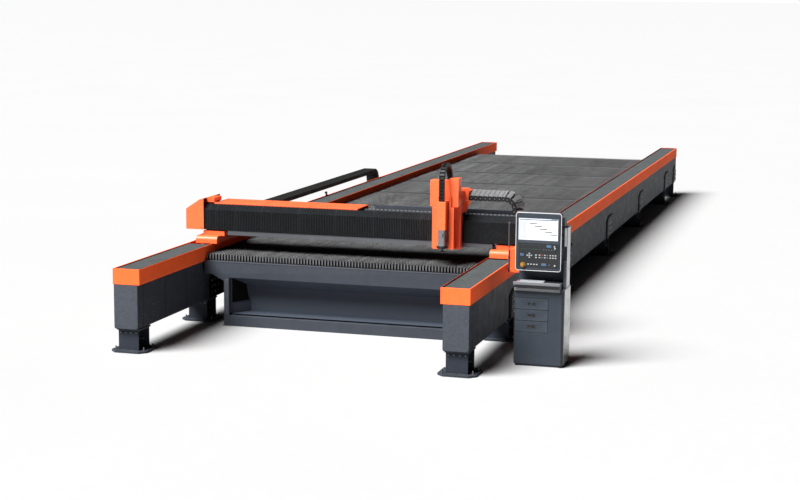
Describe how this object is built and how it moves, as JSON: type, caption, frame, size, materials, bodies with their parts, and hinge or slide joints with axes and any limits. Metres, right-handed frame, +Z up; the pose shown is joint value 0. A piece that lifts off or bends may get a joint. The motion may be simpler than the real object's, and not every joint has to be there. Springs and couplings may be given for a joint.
{
  "type": "gantry cutting machine",
  "caption": "Large-format CNC gantry cutting machine: travelling gantry with carriage and cutting head over a slatted sheet bed, with a free-standing operator console.",
  "frame": {"origin": "on the floor, under the middle of the whole machine's outline", "axes": "+X across the machine from the cable-chain side to the console side, +Y along the rails away from the front, +Z up"},
  "size_m": [5.458, 18.305, 2.152],
  "materials": {
    "slate_paint": "satin slate-grey powder coat",
    "orange_paint": "satin orange powder coat",
    "machined_steel": "ground steel, lightly oiled",
    "slat_steel": "bare cut steel plate",
    "bellows_cloth": "coated black cloth in folds",
    "chain_plastic": "moulded black plastic links",
    "motor_black": "black motor paint",
    "silver_trim": "satin silver",
    "nozzle_black": "black oxide",
    "panel_black": "dark membrane panel",
    "screen": "lit screen",
    "yellow_plastic": "yellow mushroom button",
    "white_plastic": "white button",
    "red_plastic": "red button"
  },
  "bodies": {
    "base": {"left_rail_frame": "slate_paint", "right_rail_frame": "slate_paint", "left_rail_cover": "orange_paint", "right_rail_cover": "orange_paint", "left_guide_rail": "machined_steel", "left_rack": "machined_steel", "right_guide_rail": "machined_steel", "right_rack": "machined_steel", "left_front_bellows": "bellows_cloth", "left_rear_bellows": "bellows_cloth", "right_front_bellows": "bellows_cloth", "right_rear_bellows": "bellows_cloth", "bed_front_frame": "slate_paint", "bed_front_panel": "slate_paint", "bed_base_frame": "slate_paint", "slat_field": "slat_steel", "chain_tray": "slate_paint", "long_chain_lower_run": "chain_plastic", "console_cabinet": "slate_paint", "console_head": "slate_paint", "console_screen": "screen", "control_panel": "panel_black", "keyboard_shelf": "silver_trim", "keyboard": "silver_trim"},
    "gantry": {"left_gantry_foot": "orange_paint", "right_gantry_foot": "orange_paint", "left_drive_motor": "motor_black", "right_drive_motor": "motor_black", "gantry_beam": "slate_paint", "beam_lower_strip": "silver_trim", "beam_lower_guide": "machined_steel", "beam_upper_guide": "machined_steel", "beam_rack": "machined_steel", "left_beam_bellows": "bellows_cloth", "right_beam_bellows": "bellows_cloth", "left_end_cover": "orange_paint", "right_end_cover": "orange_paint", "beam_top_cover": "orange_paint", "chain_trough": "slate_paint", "beam_chain_lower_run": "chain_plastic", "long_chain_upper_run": "chain_plastic"},
    "left_drive": {"left_drive_pinion": "machined_steel"},
    "right_drive": {"right_drive_pinion": "machined_steel"},
    "long_chain": {"long_chain_bend": "chain_plastic"},
    "carriage": {"carriage_body": "orange_paint", "carriage_housing": "orange_paint", "carriage_saddle": "orange_paint", "beam_chain_upper_run": "chain_plastic", "z_chain": "chain_plastic"},
    "carriage_drive": {"carriage_pinion": "machined_steel"},
    "beam_chain": {"beam_chain_bend": "chain_plastic"},
    "z_axis": {"z_column": "orange_paint", "cutting_head": "silver_trim", "nozzle_and_sensor_ring": "nozzle_black"},
    "drawer_low": {"lower_drawer": "slate_paint"},
    "drawer_mid": {"middle_drawer": "slate_paint"},
    "drawer_top": {"upper_drawer": "slate_paint"},
    "estop": {"estop_button": "yellow_plastic"},
    "start": {"start_button": "white_plastic"},
    "stop": {"stop_button": "red_plastic"}
  },
  "joints": [
    {"name": "gantry_travel", "type": "slide", "parent": "base", "child": "gantry", "axis": [0, 1, 0], "range_m": [0, 14.5], "deforming": ["left_front_bellows", "left_rear_bellows", "right_front_bellows", "right_rear_bellows", "long_chain_upper_run"]},
    {"name": "long_chain_roll", "type": "slide", "parent": "base", "child": "long_chain", "axis": [0, 1, 0], "range_m": [0, 7.26], "deforming": ["long_chain_lower_run"]},
    {"name": "left_drive_turn", "type": "hinge", "parent": "gantry", "child": "left_drive", "pos_m": [-2.1685, -6.1075, 0.9], "axis": [0, 0, 1], "continuous": true},
    {"name": "right_drive_turn", "type": "hinge", "parent": "gantry", "child": "right_drive", "pos_m": [1.7815, -6.1075, 0.9], "axis": [0, 0, 1], "continuous": true},
    {"name": "carriage_travel", "type": "slide", "parent": "gantry", "child": "carriage", "axis": [1, 0, 0], "range_m": [-2.78, 0.2], "deforming": ["left_beam_bellows", "right_beam_bellows", "beam_chain_upper_run"]},
    {"name": "beam_chain_roll", "type": "slide", "parent": "gantry", "child": "beam_chain", "axis": [1, 0, 0], "range_m": [-1.4, 0.11], "deforming": ["beam_chain_lower_run"]},
    {"name": "carriage_drive_turn", "type": "hinge", "parent": "carriage", "child": "carriage_drive", "pos_m": [0.9965, -6.8275, 1.3315], "axis": [0, 1, 0], "continuous": true},
    {"name": "z_travel", "type": "slide", "parent": "carriage", "child": "z_axis", "axis": [0, 0, 1], "range_m": [-0.155, 0.06], "deforming": ["z_chain"]},
    {"name": "lower_drawer_slide", "type": "slide", "parent": "base", "child": "drawer_low", "axis": [0, -1, 0], "range_m": [0, 0.26]},
    {"name": "middle_drawer_slide", "type": "slide", "parent": "base", "child": "drawer_mid", "axis": [0, -1, 0], "range_m": [0, 0.26]},
    {"name": "upper_drawer_slide", "type": "slide", "parent": "base", "child": "drawer_top", "axis": [0, -1, 0], "range_m": [0, 0.26]},
    {"name": "estop_press", "type": "slide", "parent": "base", "child": "estop", "axis": [0, 1, 0], "range_m": [0, 0.006], "stiffness_N_per_m": 900, "springref_m": -0.004},
    {"name": "start_press", "type": "slide", "parent": "base", "child": "start", "axis": [0, 1, 0], "range_m": [0, 0.004], "stiffness_N_per_m": 500, "springref_m": -0.003},
    {"name": "stop_press", "type": "slide", "parent": "base", "child": "stop", "axis": [0, 1, 0], "range_m": [0, 0.004], "stiffness_N_per_m": 500, "springref_m": -0.003}
  ],
  "couplings": [
    {"joint": "long_chain_roll", "follows": "gantry_travel", "ratio": 0.5},
    {"joint": "left_drive_turn", "follows": "gantry_travel", "rad_per_m": 33.333},
    {"joint": "right_drive_turn", "follows": "gantry_travel", "rad_per_m": 33.333},
    {"joint": "beam_chain_roll", "follows": "carriage_travel", "ratio": 0.5},
    {"joint": "carriage_drive_turn", "follows": "carriage_travel", "rad_per_m": 33.333}
  ]
}
